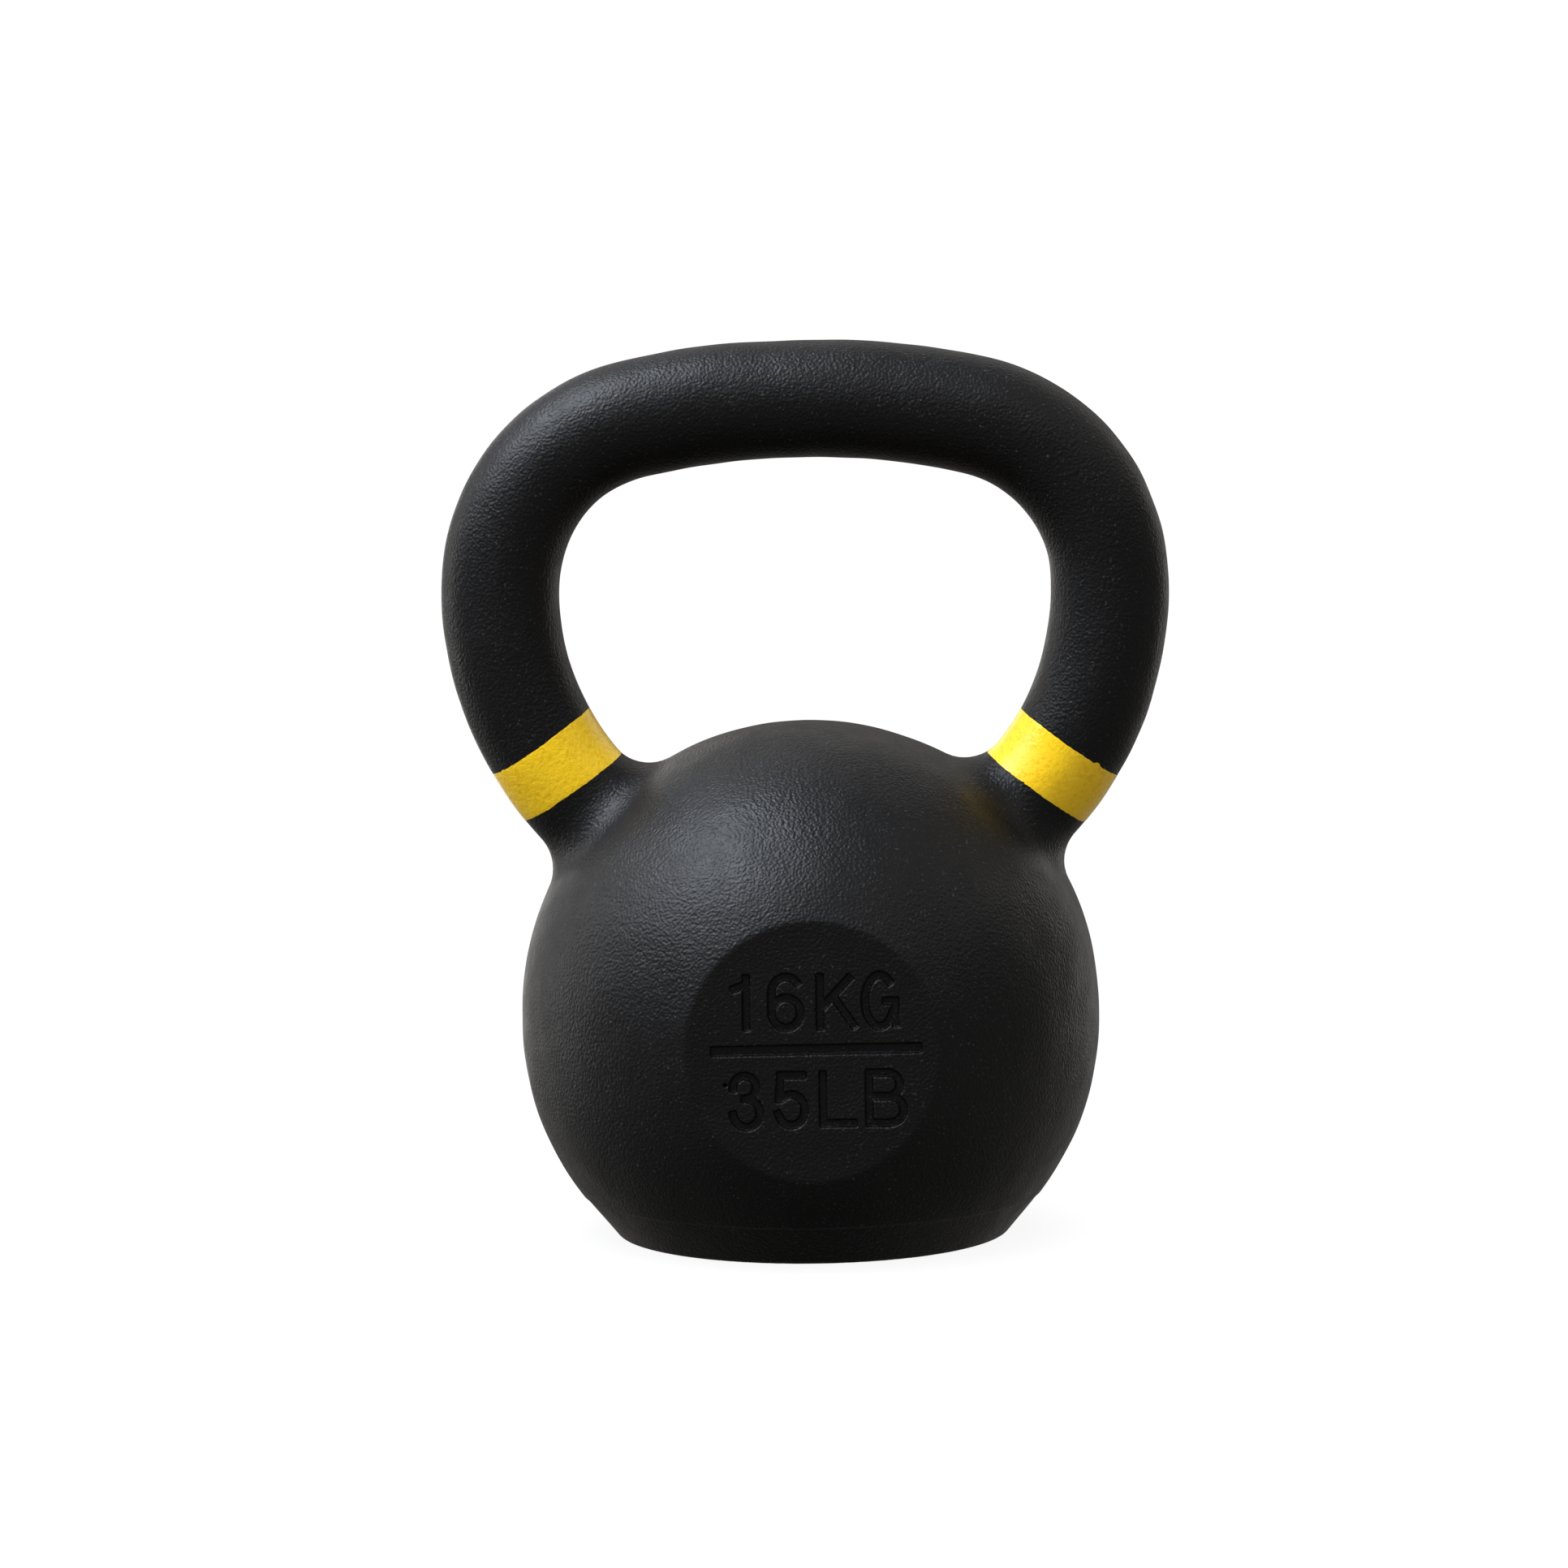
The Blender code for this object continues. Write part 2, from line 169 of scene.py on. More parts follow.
def base(p):
    """The floor plane and the conical skirt, with a round rim between them."""
    skirt_angle = math.asin((LOWER_CENTRE - SKIRT_HEIGHT) / BALL_RADIUS)
    skirt_radius = BALL_RADIUS * math.cos(skirt_angle) - SKIRT_STEP
    slope = math.atan2(SKIRT_HEIGHT, skirt_radius - BASE_RADIUS)
    reach = np.hypot(p[:, 0], p[:, 1]) + FLOAT_TINY
    outward = np.stack([p[:, 0] / reach, p[:, 1] / reach, np.zeros(len(p))], 1)
    down = np.array([0.0, 0.0, -1.0])
    cone = (reach - BASE_RADIUS) * math.sin(slope) - p[:, 2] * math.cos(slope)
    cone_gradient = outward * math.sin(slope) + down * math.cos(slope)
    floor = -p[:, 2]
    off_r = reach - (BASE_RADIUS - RIM_RADIUS * math.tan(slope / 2))
    off_z = p[:, 2] - RIM_RADIUS
    turn = np.arctan2(off_r, -off_z)
    rim = (turn > 0) & (turn < slope)
    length = np.hypot(off_r, off_z) + FLOAT_TINY
    rim_gradient = outward * (off_r / length)[:, None] - down * (off_z / length)[:, None]
    value = np.where(rim, length - RIM_RADIUS, np.maximum(cone, floor))
    flat = np.where((cone > floor)[:, None], cone_gradient, down[None, :])
    return value, np.where(rim[:, None], rim_gradient, flat)


def rolled_union(p, first, second, radius):
    """Both solids, with the inside edge between them filled by a ball rolled along it."""
    a, na = first(p)
    b, nb = second(p)
    value = np.minimum(a, b)
    gradient = np.where((a < b)[:, None], na, nb)
    near = np.nonzero((a < radius) & (b < radius) & (np.maximum(a, b) > -radius))[0]
    if len(near) == 0:
        return value, gradient
    q = p[near]
    c = q.copy()
    for _ in range(ROLL_STEPS):
        ca, cna = first(c)
        cb, cnb = second(c)
        dot = np.sum(cna * cnb, 1)
        scale = 1.0 / np.maximum(1 - dot ** 2, PARALLEL_LIMIT)
        ra, rb = radius - ca, radius - cb
        step = cna * ((ra - dot * rb) * scale)[:, None] + cnb * ((rb - dot * ra) * scale)[:, None]
        c = c + np.clip(step, -radius, radius)
        along = np.cross(cna, cnb)
        along /= np.linalg.norm(along, axis=1)[:, None] + FLOAT_TINY
        c = c - along * np.sum((c - q) * along, 1)[:, None]
    v = c - q
    va, vb = np.sum(v * cna, 1), np.sum(v * cnb, 1)
    inside = (va - dot * vb > 0) & (vb - dot * va > 0)
    length = np.linalg.norm(v, axis=1) + FLOAT_TINY
    hit = near[inside]
    value[hit] = radius - length[inside]
    gradient[hit] = (v / length[:, None])[inside]
    return value, gradient


def negated(function):
    """The same surface with its inside and outside exchanged."""
    def opposite(p):
        value, gradient = function(p)
        return -value, -gradient
    return opposite


def smoothstep(x):
    x = np.clip(x, 0.0, 1.0)
    return x * x * (3 - 2 * x)


def from_face_axis(p):
    """Distance from the line through the middle of the flat face, square to it."""
    return np.hypot(p[:, 0], p[:, 2] - BELT_CENTRE)


def body(p):
    """The whole casting without its marking."""
    value, gradient = rolled_union(p, ball, bar, FILLET_RADIUS)
    front = np.nonzero((p[:, 1] < -FRONT_ZONE) & (from_face_axis(p) < FRONT_ZONE))[0]
    cut, cut_gradient = rolled_union(p[front], negated(ball), negated(face), FACE_EDGE_RADIUS)
    value[front], gradient[front] = -cut, -cut_gradient
    low, low_gradient = base(p)
    under = 1 - smoothstep((p[:, 2] - (SKIRT_HEIGHT - SKIRT_STEP)) / SKIRT_STEP)
    value = value + (low - value) * under
    gradient = gradient + (low_gradient - gradient) * under[:, None]
    return value, gradient / (np.linalg.norm(gradient, axis=1)[:, None] + FLOAT_TINY)


def fitted(p, steps):
    """The points moved onto the casting's surface."""
    for _ in range(steps):
        value, gradient = body(p)
        p = p - gradient * np.clip(value, -LONGEST_MOVE, LONGEST_MOVE)[:, None]
    return p


# ---------------------------------------------------------------- marking
# Pen paths in millimetres, from each character's lower left corner.

UPPER_BASELINE = 5.5
LOWER_BASELINE = -20.3
UPPER_LINE = (("1", -21.4), ("6", -11.7), ("K", 0.9), ("G", 12.7))
LOWER_LINE = (("3", -22.2), ("5", -10.4), ("L", 1.4), ("B", 13.6))
RULE_ENDS = ((-26.9, 0.41), (29.1, 0.79))
RULE_WIDTH = 3.3
PIT_CENTRE = (-22.9, -8.5)
PIT_RADIUS = 0.8
BOW_STEP = 12.0            # degrees between the points of a bow
STROKE_REACH = 3.0         # how far past a stroke's own box its distance is worked out
CORNER_COSINE = 0.5        # a path that turns more sharply than this gets a square corner


def bow(centre, radii, start, end):
    """Points on an ellipse from one angle to another, in degrees."""
    count = max(2, math.ceil(abs(end - start) / BOW_STEP))
    turns = [math.radians(start + (end - start) * i / count) for i in range(count + 1)]
    return [(centre[0] + radii[0] * math.cos(t), centre[1] + radii[1] * math.sin(t)) for t in turns]


STROKES = {
    "1": [[(1.2, 11.4), (4.3, 12.5)], [(4.3, 1.25), (4.3, 14.2)]],
    "6": [bow((5.0, 10.0), (3.75, 4.45), 40, 180) + [(1.25, 5.0)],
          bow((5.0, 4.95), (3.75, 4.0), 180, 540)],
    "K": [[(1.3, 1.25), (1.3, 14.3)], [(1.3, 5.7), (8.9, 13.9)], [(5.4, 8.3), (10.0, 1.5)]],
    "G": [bow((5.1, 7.85), (3.85, 6.8), 48, 335), [(6.8, 7.75), (9.2, 7.75), (9.2, 1.9)]],
    "3": [bow((4.4, 11.1), (3.0, 3.05), 185, -90), bow((4.8, 4.3), (3.5, 3.75), 90, -174)],
    "5": [[(7.8, 14.2), (2.0, 14.2), (1.6, 7.9)] + bow((4.75, 5.0), (3.55, 4.1), 130, -165)],
    "L": [[(1.3, 14.3), (1.3, 1.35), (9.2, 1.35)]],
    "B": [[(1.25, 14.6)] + bow((6.0, 11.45), (3.2, 3.15), 90, -90) + [(1.25, 8.3)],
          [(1.25, 8.3)] + bow((6.6, 4.8), (3.6, 3.5), 90, -90) + [(1.25, 1.3)],
          [(1.25, 1.3), (1.25, 14.6)]],
}


def marking_paths():
    """(points, pen width) of every stroke, measured from the middle of the face."""
    paths = []
    for baseline, line in ((UPPER_BASELINE, UPPER_LINE), (LOWER_BASELINE, LOWER_LINE)):
        for character, left in line:
            for path in STROKES[character]:
                paths.append((np.array(path) + (left, baseline), PEN_WIDTH))
    inset = (RULE_WIDTH / 2, 0)
    paths.append((np.array([np.add(RULE_ENDS[0], inset), np.subtract(RULE_ENDS[1], inset)]), RULE_WIDTH))
    return paths


def pen_square(q, at, along, half):
    """Distance to the pen's rounded square at a stroke's end or sharp corner."""
    along = along / np.linalg.norm(along)
    off = q - at
    u = np.abs(off @ along) - (half - PEN_CORNER)
    v = np.abs(off @ np.array([-along[1], along[0]])) - (half - PEN_CORNER)
    outside = np.hypot(np.maximum(u, 0), np.maximum(v, 0))
    return outside + np.minimum(np.maximum(u, v), 0) - PEN_CORNER


def marking_distance(q):
    """Distance in the face's plane to the edge of the marking; negative inside a stroke."""
    best = np.hypot(*(q - PIT_CENTRE).T) - PIT_RADIUS
    for path, width in marking_paths():
        half = width / 2
        margin = half + STROKE_REACH
        low, high = path.min(0) - margin, path.max(0) + margin
        near = np.nonzero(np.all((q > low) & (q < high), axis=1))[0]
        if len(near) == 0:
            continue
        local = q[near]
        value = np.full(len(near), np.inf)
        for start, end in zip(path, path[1:]):
            run = end - start
            t = np.clip(((local - start) @ run) / (run @ run), 0, 1)
            value = np.minimum(value, np.linalg.norm(local - start - t[:, None] * run, axis=1) - half)
        if not np.allclose(path[0], path[-1]):
            value = np.minimum(value, pen_square(local, path[0], path[0] - path[1], half))
            value = np.minimum(value, pen_square(local, path[-1], path[-1] - path[-2], half))
        for before, at, after in zip(path, path[1:], path[2:]):
            one, two = at - before, after - at
            cosine = one @ two / (np.linalg.norm(one) * np.linalg.norm(two))
            if cosine < CORNER_COSINE:
                value = np.minimum(value, pen_square(local, at, one, half))
        best[near] = np.minimum(best[near], value)
    return best


def face_points(p):
    """Which points lie on the flat face, and where they lie in its plane."""
    level = np.abs(p[:, 1] + FACE_DISTANCE) < FACE_MARGIN
    flat = np.nonzero(level & (from_face_axis(p) < FACE_RADIUS - FACE_MARGIN))[0]
    return flat, np.stack([p[flat, 0], p[flat, 2] - BELT_CENTRE], 1)


def engraved(p):
    """The points with the marking pressed into the face."""
    flat, q = face_points(p)
    inside = -marking_distance(q)
    lip = np.clip(inside / LETTER_LIP_WIDTH, 0.0, 1.0)
    wall = np.clip((inside - LETTER_LIP_WIDTH) / (LETTER_WALL - LETTER_LIP_WIDTH), 0.0, 1.0)
    depth = LETTER_LIP_DEPTH * lip + (LETTER_DEPTH - LETTER_LIP_DEPTH) * wall
    p = p.copy()
    p[flat, 1] += depth
    return p


# ---------------------------------------------------------------- casting unevenness

def waves(p, wavelength, amplitude, seed):
    """Smooth random rise and fall of a hand-finished pattern, the same on every run."""
    draw = np.random.default_rng(seed)
    direction = draw.normal(size=(WAVE_COUNT, 3))
    direction /= np.linalg.norm(direction, axis=1)[:, None]
    number = 2 * math.pi / wavelength * draw.uniform(LOWEST_PITCH, HIGHEST_PITCH, WAVE_COUNT)
    phase = draw.uniform(0, 2 * math.pi, WAVE_COUNT)
    total = np.sin(p @ (direction * number[:, None]).T + phase).sum(1)
    return amplitude * total / math.sqrt(WAVE_COUNT / 2)


def casting_rise(p):
    """How far the slow waves lift the casting's surface."""
    return sum(waves(p, *wave) for wave in CASTING_WAVES)


def uneven(p, gradient):
    """The casting's slow waves, faded out on the floor side of the base."""
    rise = casting_rise(p) * smoothstep((p[:, 2] - WAVES_START) / WAVES_FADE)
    return p + gradient * rise[:, None]


# ---------------------------------------------------------------- mesh work

def read_points(mesh):
    flat = np.empty(len(mesh.vertices) * 3, np.float32)
    mesh.vertices.foreach_get("co", flat)
    return flat.reshape(-1, 3).astype(float) / MM


def write_points(mesh, p):
    mesh.vertices.foreach_set("co", (p * MM).astype(np.float32).ravel())
    mesh.update()


def link(name, data):
    """A new object of the data, in the scene."""
    item = bpy.data.objects.new(name, data)
    bpy.context.scene.collection.objects.link(item)
    return item


def remeshed(mesh, voxel):
    """The mesh rebuilt as one even skin."""
    item = link("remesh_source", mesh)
    modifier = item.modifiers.new("skin", "REMESH")
    modifier.mode = "VOXEL"
    modifier.voxel_size = voxel * MM
    result = bpy.data.meshes.new_from_object(item.evaluated_get(bpy.context.evaluated_depsgraph_get()))
    bpy.data.objects.remove(item, do_unlink=True)
    return result


def wanted_edge(p):
    """Longest edge allowed at each point."""
    size = np.full(len(p), PLAIN_EDGE)
    front = p[:, 1] < -FRONT_ZONE
    rim_off = np.abs(from_face_axis(p) - FACE_RADIUS)
    size = np.where(front & (rim_off < FACE_RIM_REACH), FACE_RIM_EDGE, size)
    z = p[:, 2]
    skirt_top = SKIRT_HEIGHT - SKIRT_STEP / 2
    size = np.where(np.abs(z - skirt_top) < SKIRT_TOP_REACH, SKIRT_TOP_EDGE, size)
    around = np.hypot(p[:, 0], p[:, 1])
    size = np.where((z < BASE_RIM_HEIGHT) & (around > BASE_RADIUS - BASE_RIM_REACH), BASE_RIM_EDGE, size)
    flat, q = face_points(p)
    off = np.abs(marking_distance(q) + LETTER_WALL / 2)
    near_letters = LETTER_EDGE + (off - LETTER_WALL) * LETTER_EDGE_GROWTH
    size[flat] = np.minimum(size[flat], np.clip(near_letters, LETTER_EDGE, PLAIN_EDGE))
    return size


def refine(mesh, passes):
    """Halve the mesh's edges until each is as short as its place wants."""
    for _ in range(passes):
        p = read_points(mesh)
        pairs = np.empty(len(mesh.edges) * 2, np.int32)
        mesh.edges.foreach_get("vertices", pairs)
        pairs = pairs.reshape(-1, 2)
        one, two = p[pairs[:, 0]], p[pairs[:, 1]]
        length = np.linalg.norm(one - two, axis=1)
        long = np.nonzero(length > wanted_edge((one + two) / 2) * EDGE_SLACK)[0]
        if len(long) == 0:
            break
        sheet = bmesh.new()
        sheet.from_mesh(mesh)
        sheet.edges.ensure_lookup_table()
        bmesh.ops.subdivide_edges(sheet, edges=[sheet.edges[i] for i in long], cuts=1, use_grid_fill=True)
        bmesh.ops.triangulate(sheet, faces=[f for f in sheet.faces if len(f.verts) > 3])
        sheet.to_mesh(mesh)
        sheet.free()
        write_points(mesh, fitted(read_points(mesh), steps=2))


def make_casting():
    """One even skin grown from the CAD casting, fitted, refined, marked and made slightly uneven."""
    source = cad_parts["bell_casting"].data.copy()
    write_points(source, fitted(read_points(source), steps=12))
    mesh = remeshed(source, VOXEL)
    bpy.data.meshes.remove(source)
    sheet = bmesh.new()
    sheet.from_mesh(mesh)
    bmesh.ops.triangulate(sheet, faces=sheet.faces)
    sheet.to_mesh(mesh)
    sheet.free()
    write_points(mesh, fitted(read_points(mesh), steps=6))
    refine(mesh, REFINE_PASSES)
    p = fitted(read_points(mesh), steps=4)
    gradient = body(p)[1]
    write_points(mesh, uneven(engraved(p), gradient))
    mesh.shade_smooth()
    return link("casting", mesh)


def edge_wander(name, turn, side):
    """How far a band's masked edge strays from straight, round the horn."""
    draw = np.random.default_rng(sum(name.encode()) + side)
    stray = np.zeros_like(turn)
    for cycles, amplitude in TAPE_STRAY:
        stray += amplitude * np.sin(cycles * turn + draw.uniform(0, 2 * math.pi))
    for band, creep_side, place, width, height in PAINT_CREEPS:
        if band == name and creep_side == side:
            stray += height * np.exp(-((np.degrees(turn) - place) / width) ** 4)
    return stray


def ring_faces(around, across):
    """Faces of a closed ring whose outer points come first, then its inner points in the same order."""
    count = around * across
    faces = []
    for i in range(around):
        after = (i + 1) % around
        for j in range(across - 1):
            a, b, c, d = i * across + j, after * across + j, after * across + j + 1, i * across + j + 1
            faces.append((a, b, c, d))
            faces.append((d + count, c + count, b + count, a + count))
        for j, turn in ((0, False), (across - 1, True)):
            a, b = i * across + j, after * across + j
            side = (a, a + count, b + count, b)
            faces.append(side[::-1] if turn else side)
    return faces


def make_band(name, angle):
    """A thin painted ring round the horn, between two edges that a hand has masked."""
    centre = np.array([HORN_ARC * math.sin(angle), 0, HORN_Z + HORN_ARC * math.cos(angle)])
    outward = np.array([math.sin(angle), 0, math.cos(angle)])
    along = np.array([math.cos(angle), 0, -math.sin(angle)])
    u = np.linspace(0, 2 * math.pi, BAND_AROUND, endpoint=False)
    v = np.linspace(-1, 1, BAND_ACROSS)
    uu, vv = np.meshgrid(u, v, indexing="ij")
    wander = np.where(vv < 0, edge_wander(name, uu, -1), edge_wander(name, uu, 1))
    offset = vv * (BAND_WIDTH / 2 + wander * np.abs(vv) ** 3)    # the stray dies away inside the edge
    reach = HORN_ARC + BAR_RADIUS * np.cos(uu)
    radial = np.sqrt(reach ** 2 - offset ** 2) - HORN_ARC
    grid = centre + offset[..., None] * along + radial[..., None] * outward
    grid[..., 1] += BAR_RADIUS * np.sin(uu)
    inside = (1 - np.abs(vv)).reshape(-1) * BAND_WIDTH / 2
    proud = PAINT_LIP + (PAINT_PROUD - PAINT_LIP) * smoothstep(inside / PAINT_EDGE_WIDTH)
    base_points = fitted(grid.reshape(-1, 3), steps=5)
    normal = body(base_points)[1]
    rise = casting_rise(base_points)
    outer = base_points + normal * (proud + rise)[:, None]
    inner = base_points + normal * (rise - PAINT_DEPTH)[:, None]
    mesh = bpy.data.meshes.new(name + "_paint")
    points = np.concatenate([outer, inner]) * MM
    mesh.from_pydata([tuple(point) for point in points], [], ring_faces(BAND_AROUND, BAND_ACROSS))
    mesh.shade_smooth()
    sheet = bmesh.new()
    sheet.from_mesh(mesh)
    bmesh.ops.recalc_face_normals(sheet, faces=sheet.faces)
    sheet.to_mesh(mesh)
    sheet.free()
    mesh.set_sharp_from_angle(angle=PAINT_SHARP_ANGLE)
    return link(name + "_paint", mesh)


# ---------------------------------------------------------------- materials
# Noise scales are per metre and grain heights are in metres. Roughness stops are (noise value, roughness).

COAT_COLOUR = (0.0031, 0.0031, 0.0034)
SPECK_COLOUR = (0.030, 0.030, 0.032)
SPECK_SCALE = 1500.0
SPECK_START, SPECK_FULL = 0.73, 0.82
COAT_PATCH_SCALE = 160.0
COAT_ROUGHNESS = ((0.3, 0.43), (0.7, 0.51))
COAT_SPECULAR = 0.19
COAT_GRAIN_SCALE, COAT_GRAIN_DETAIL, COAT_GRAIN_HEIGHT = 1300.0, 0.5, 0.00026

THIN_PAINT, FULL_PAINT = (0.84, 0.50, 0.005), (0.93, 0.60, 0.010)
PAINT_MOTTLE_SCALE = 800.0
PAINT_THIN_BELOW, PAINT_FULL_ABOVE = 0.32, 0.50
PAINT_PATCH_SCALE = 110.0
PAINT_ROUGHNESS = ((0.35, 0.24), (0.65, 0.34))
PAINT_SPECULAR = 0.35
PAINT_GRAIN_SCALE, PAINT_GRAIN_DETAIL, PAINT_GRAIN_HEIGHT = 700.0, 3.0, 0.00020
PAINT_GRAIN_ROUGHNESS = 0.7
PATCH_DETAIL = 2.0


def new_material(name):
    material = bpy.data.materials.new(name)
    material.use_nodes = True
    tree = material.node_tree
    return material, tree, tree.nodes["Principled BSDF"]


def noise(tree, scale, detail, roughness=0.5):
    """A noise field over the object's own coordinates."""
    place = tree.nodes.new("ShaderNodeTexCoord")
    field = tree.nodes.new("ShaderNodeTexNoise")
    field.inputs["Scale"].default_value = scale
    field.inputs["Detail"].default_value = detail
    field.inputs["Roughness"].default_value = roughness
    tree.links.new(place.outputs["Object"], field.inputs["Vector"])
    return field.outputs["Fac"]


def ramp(tree, source, stops):
    """The source value turned into a colour through (position, colour) stops."""
    node = tree.nodes.new("ShaderNodeValToRGB")
    tree.links.new(source, node.inputs["Fac"])
    elements = node.color_ramp.elements
    while len(elements) < len(stops):
        elements.new(0.5)
    for element, (position, colour) in zip(elements, stops):
        element.position = position
        element.color = (*colour, 1.0)
    return node.outputs["Color"]


def grey_ramp(tree, source, stops):
    """The source value turned into another value through (position, value) stops."""
    return ramp(tree, source, [(position, (value,) * 3) for position, value in stops])


def roughen(tree, shader, height, distance):
    """Let the height field tilt the shader's surface."""
    bump = tree.nodes.new("ShaderNodeBump")
    bump.inputs["Distance"].default_value = distance
    tree.links.new(height, bump.inputs["Height"])
    tree.links.new(bump.outputs["Normal"], shader.inputs["Normal"])


def coat_material():
    """Black powder coat over cast iron: a fine orange-peel grain with a few pale specks."""
    material, tree, shader = new_material("black_powder_coat")
    stops = ((0.0, COAT_COLOUR), (SPECK_START, COAT_COLOUR), (SPECK_FULL, SPECK_COLOUR))
    colour = ramp(tree, noise(tree, SPECK_SCALE, 0.0), stops)
    tree.links.new(colour, shader.inputs["Base Color"])
    roughness = grey_ramp(tree, noise(tree, COAT_PATCH_SCALE, PATCH_DETAIL), COAT_ROUGHNESS)
    tree.links.new(roughness, shader.inputs["Roughness"])
    shader.inputs["Specular IOR Level"].default_value = COAT_SPECULAR
    roughen(tree, shader, noise(tree, COAT_GRAIN_SCALE, COAT_GRAIN_DETAIL), COAT_GRAIN_HEIGHT)
    return material


def paint_material():
    """Brushed yellow enamel, slightly mottled where it lies thin."""
    material, tree, shader = new_material("yellow_band_paint")
    stops = ((PAINT_THIN_BELOW, THIN_PAINT), (PAINT_FULL_ABOVE, FULL_PAINT))
    colour = ramp(tree, noise(tree, PAINT_MOTTLE_SCALE, PATCH_DETAIL), stops)
    tree.links.new(colour, shader.inputs["Base Color"])
    roughness = grey_ramp(tree, noise(tree, PAINT_PATCH_SCALE, PATCH_DETAIL), PAINT_ROUGHNESS)
    tree.links.new(roughness, shader.inputs["Roughness"])
    shader.inputs["Specular IOR Level"].default_value = PAINT_SPECULAR
    grain = noise(tree, PAINT_GRAIN_SCALE, PAINT_GRAIN_DETAIL, PAINT_GRAIN_ROUGHNESS)
    roughen(tree, shader, grain, PAINT_GRAIN_HEIGHT)
    return material


# ---------------------------------------------------------------- stage, in metres

CAMERA_ELEVATION = math.radians(6.74)
CAMERA_ROLL = math.radians(0.749)
CAMERA_TARGET = Vector((-0.00645, 0.0, 0.12199))
CAMERA_DISTANCE = 1.975
CAMERA_LENS = 167.83
SENSOR_WIDTH = 36.0
NEAR_CLIP = 0.05


def aimed(right, up, position):
    """The matrix of a camera at the position, whose picture has these directions as right and up."""
    back = right.cross(up)
    turn = Matrix((right, up, back)).transposed().to_4x4()
    return Matrix.Translation(position) @ turn


def make_camera():
    data = bpy.data.cameras.new("camera")
    data.lens = CAMERA_LENS
    data.sensor_width = SENSOR_WIDTH
    data.clip_start = NEAR_CLIP
    item = link("camera", data)
    forward = Vector((0, math.cos(CAMERA_ELEVATION), -math.sin(CAMERA_ELEVATION)))
    level_up = Vector((0, math.sin(CAMERA_ELEVATION), math.cos(CAMERA_ELEVATION)))
    level_right = Vector((1, 0, 0))
    right = level_right * math.cos(CAMERA_ROLL) - level_up * math.sin(CAMERA_ROLL)
    up = level_right * math.sin(CAMERA_ROLL) + level_up * math.cos(CAMERA_ROLL)
    item.matrix_world = aimed(right, up, CAMERA_TARGET - forward * CAMERA_DISTANCE)
    bpy.context.scene.camera = item


MIDDLE = Vector((0.0, 0.0, 0.11))
KEY_TINT = (0.91, 0.98, 1.10)
PLAIN_TINT = (1.02, 1.0, 0.97)
LIGHT_DISTANCE = 1.3
LIGHTS = (
    # name, azimuth (0 in front of the object, 90 to its right), elevation, width, height, power, tint
    ("key_high", -80.0, 64.0, 0.5, 0.5, 21.5, KEY_TINT),
    ("key_side", -80.0, 40.0, 0.5, 0.5, 10.0, KEY_TINT),
    ("key_front", -40.0, 52.0, 0.5, 0.5, 6.8, KEY_TINT),
    ("left_strip", -120.0, 5.0, 0.4, 0.9, 3.4, PLAIN_TINT),
    ("back_strip", -160.0, 5.0, 0.4, 0.9, 2.1, PLAIN_TINT),
    ("right_strip", 140.0, 5.0, 0.4, 0.9, 1.4, PLAIN_TINT),
)
# The studio's soft surroundings: (elevation in degrees, brightness).
SURROUNDINGS = ((-80.0, 0.0), (-60.0, 0.27), (-45.0, 0.13), (-25.0, 0.42), (-8.0, 0.34), (7.0, 0.10),
                (25.0, 0.70), (47.0, 1.18), (75.0, 0.06))
SURROUNDINGS_TINT = (1.04, 1.0, 0.95)

FLOOR_HALF = 80.0
FLOOR_COLOUR = (0.03, 0.03, 0.03, 1.0)
FLOOR_ROUGHNESS = 0.9
WHITE = (1.0, 1.0, 1.0, 1.0)
# Painted contact shadow: between these radii the floor's glow rises from the dimmed value to full white.
PAINTED_SHADOW_INNER, PAINTED_SHADOW_OUTER = 0.050, 0.085
PAINTED_SHADOW_VALUE = 0.92


def make_light(name, azimuth, elevation, width, height, power, tint):
    data = bpy.data.lights.new(name, "AREA")
    data.shape = "RECTANGLE"
    data.size, data.size_y = width, height
    data.energy = power
    data.color = tint
    item = link(name, data)
    turn, rise = math.radians(azimuth), math.radians(elevation)
    away = Vector((math.sin(turn) * math.cos(rise), -math.cos(turn) * math.cos(rise), math.sin(rise)))
    item.location = MIDDLE + away * LIGHT_DISTANCE
    item.rotation_euler = away.to_track_quat("Z", "Y").to_euler()


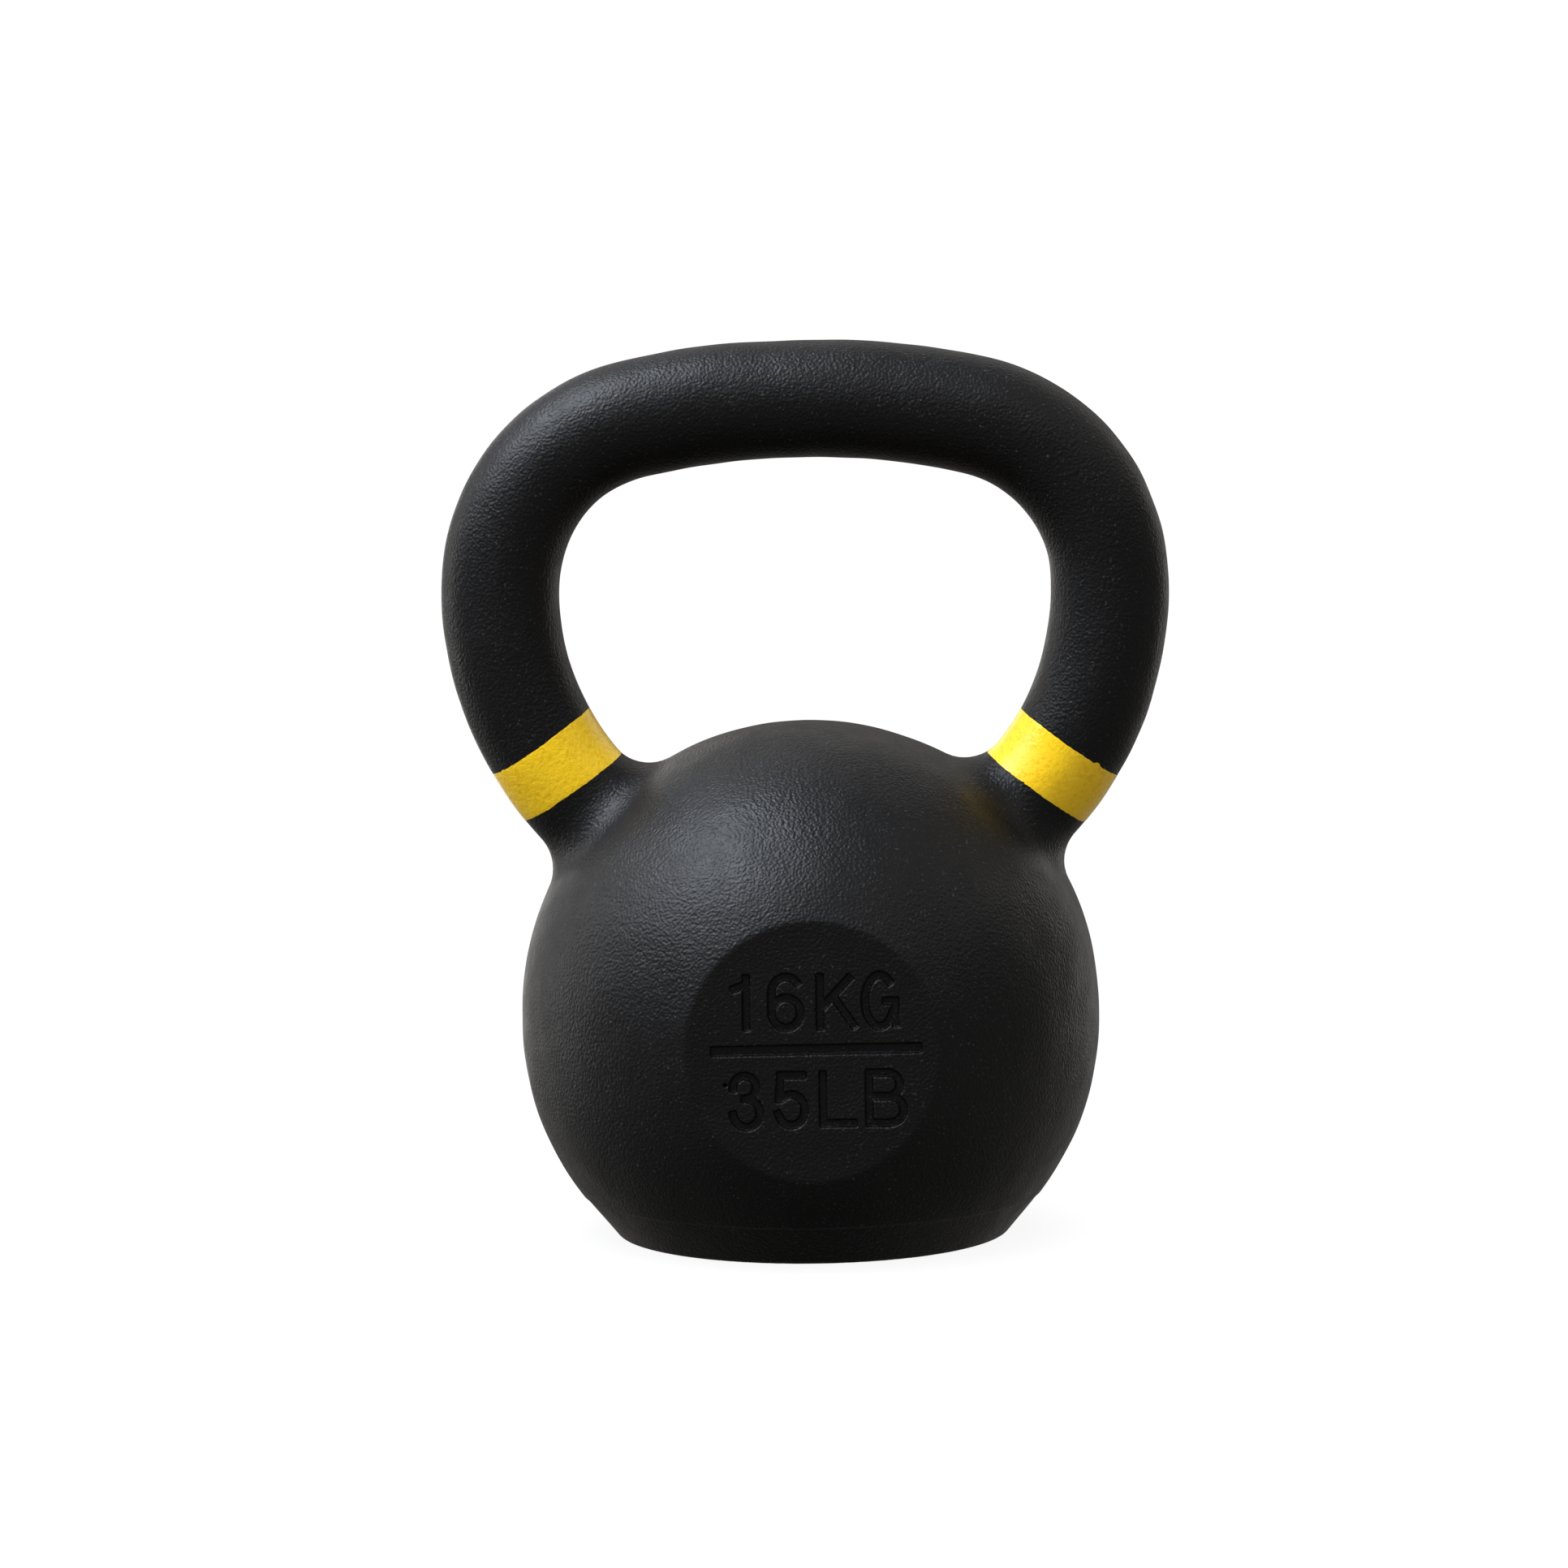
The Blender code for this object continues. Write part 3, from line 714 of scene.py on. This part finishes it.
def make_floor():
    """A bright white floor whose glow is lowered round the kettlebell's foot: a painted contact shadow."""
    mesh = bpy.data.meshes.new("floor")
    half = FLOOR_HALF
    corners = [(-half, -half, 0), (half, -half, 0), (half, half, 0), (-half, half, 0)]
    mesh.from_pydata(corners, [], [(0, 1, 2, 3)])
    floor = link("floor", mesh)
    material, tree, shader = new_material("pale_floor")
    shader.inputs["Base Color"].default_value = FLOOR_COLOUR
    shader.inputs["Roughness"].default_value = FLOOR_ROUGHNESS
    shader.inputs["Specular IOR Level"].default_value = 0.0
    shader.inputs["Emission Color"].default_value = WHITE
    place = tree.nodes.new("ShaderNodeTexCoord")
    reach = tree.nodes.new("ShaderNodeVectorMath")
    reach.operation = "LENGTH"
    tree.links.new(place.outputs["Object"], reach.inputs[0])
    # Painted contact shadow: the glow is dimmed close to the middle and brightens outward.
    fade = tree.nodes.new("ShaderNodeMapRange")
    fade.interpolation_type = "SMOOTHSTEP"
    fade.inputs["From Min"].default_value = PAINTED_SHADOW_INNER
    fade.inputs["From Max"].default_value = PAINTED_SHADOW_OUTER
    fade.inputs["To Min"].default_value = PAINTED_SHADOW_VALUE
    fade.inputs["To Max"].default_value = 1.0
    tree.links.new(reach.outputs["Value"], fade.inputs["Value"])
    tree.links.new(fade.outputs["Result"], shader.inputs["Emission Strength"])
    mesh.materials.append(material)
    floor.visible_diffuse = False
    floor.visible_glossy = False
    floor.visible_shadow = False


def make_world():
    """White behind the object; for the lighting, soft surroundings that change with height."""
    world = bpy.data.worlds.new("studio")
    world.use_nodes = True
    tree = world.node_tree
    place = tree.nodes.new("ShaderNodeTexCoord")
    parts = tree.nodes.new("ShaderNodeSeparateXYZ")
    tree.links.new(place.outputs["Generated"], parts.inputs["Vector"])
    share = tree.nodes.new("ShaderNodeMath")    # -1 to 1 becomes 0 to 1
    share.operation = "MULTIPLY_ADD"
    share.inputs[1].default_value = 0.5
    share.inputs[2].default_value = 0.5
    tree.links.new(parts.outputs["Z"], share.inputs[0])
    stops = []
    for elevation, value in SURROUNDINGS:
        height = (math.sin(math.radians(elevation)) + 1) / 2
        stops.append((height, tuple(value * part for part in SURROUNDINGS_TINT)))
    glow = ramp(tree, share.outputs["Value"], stops)
    ray = tree.nodes.new("ShaderNodeLightPath")
    mix = tree.nodes.new("ShaderNodeMix")
    mix.data_type = "RGBA"
    tree.links.new(ray.outputs["Is Camera Ray"], mix.inputs["Factor"])
    tree.links.new(glow, mix.inputs["A"])
    mix.inputs["B"].default_value = WHITE
    tree.links.new(mix.outputs["Result"], tree.nodes["Background"].inputs["Color"])
    bpy.context.scene.world = world


def main():
    bpy.context.scene.view_settings.view_transform = "Standard"
    make_camera()
    make_world()
    make_floor()
    for light in LIGHTS:
        make_light(*light)

    casting = make_casting()
    casting.data.materials.clear()
    casting.data.materials.append(coat_material())
    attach(casting, "root")
    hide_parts("bell_casting")
    paint = paint_material()
    for name, angle in BAND_ANGLES.items():
        band = make_band(name, angle)
        band.data.materials.append(paint)
        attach(band, "root")
        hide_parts(name)


main()
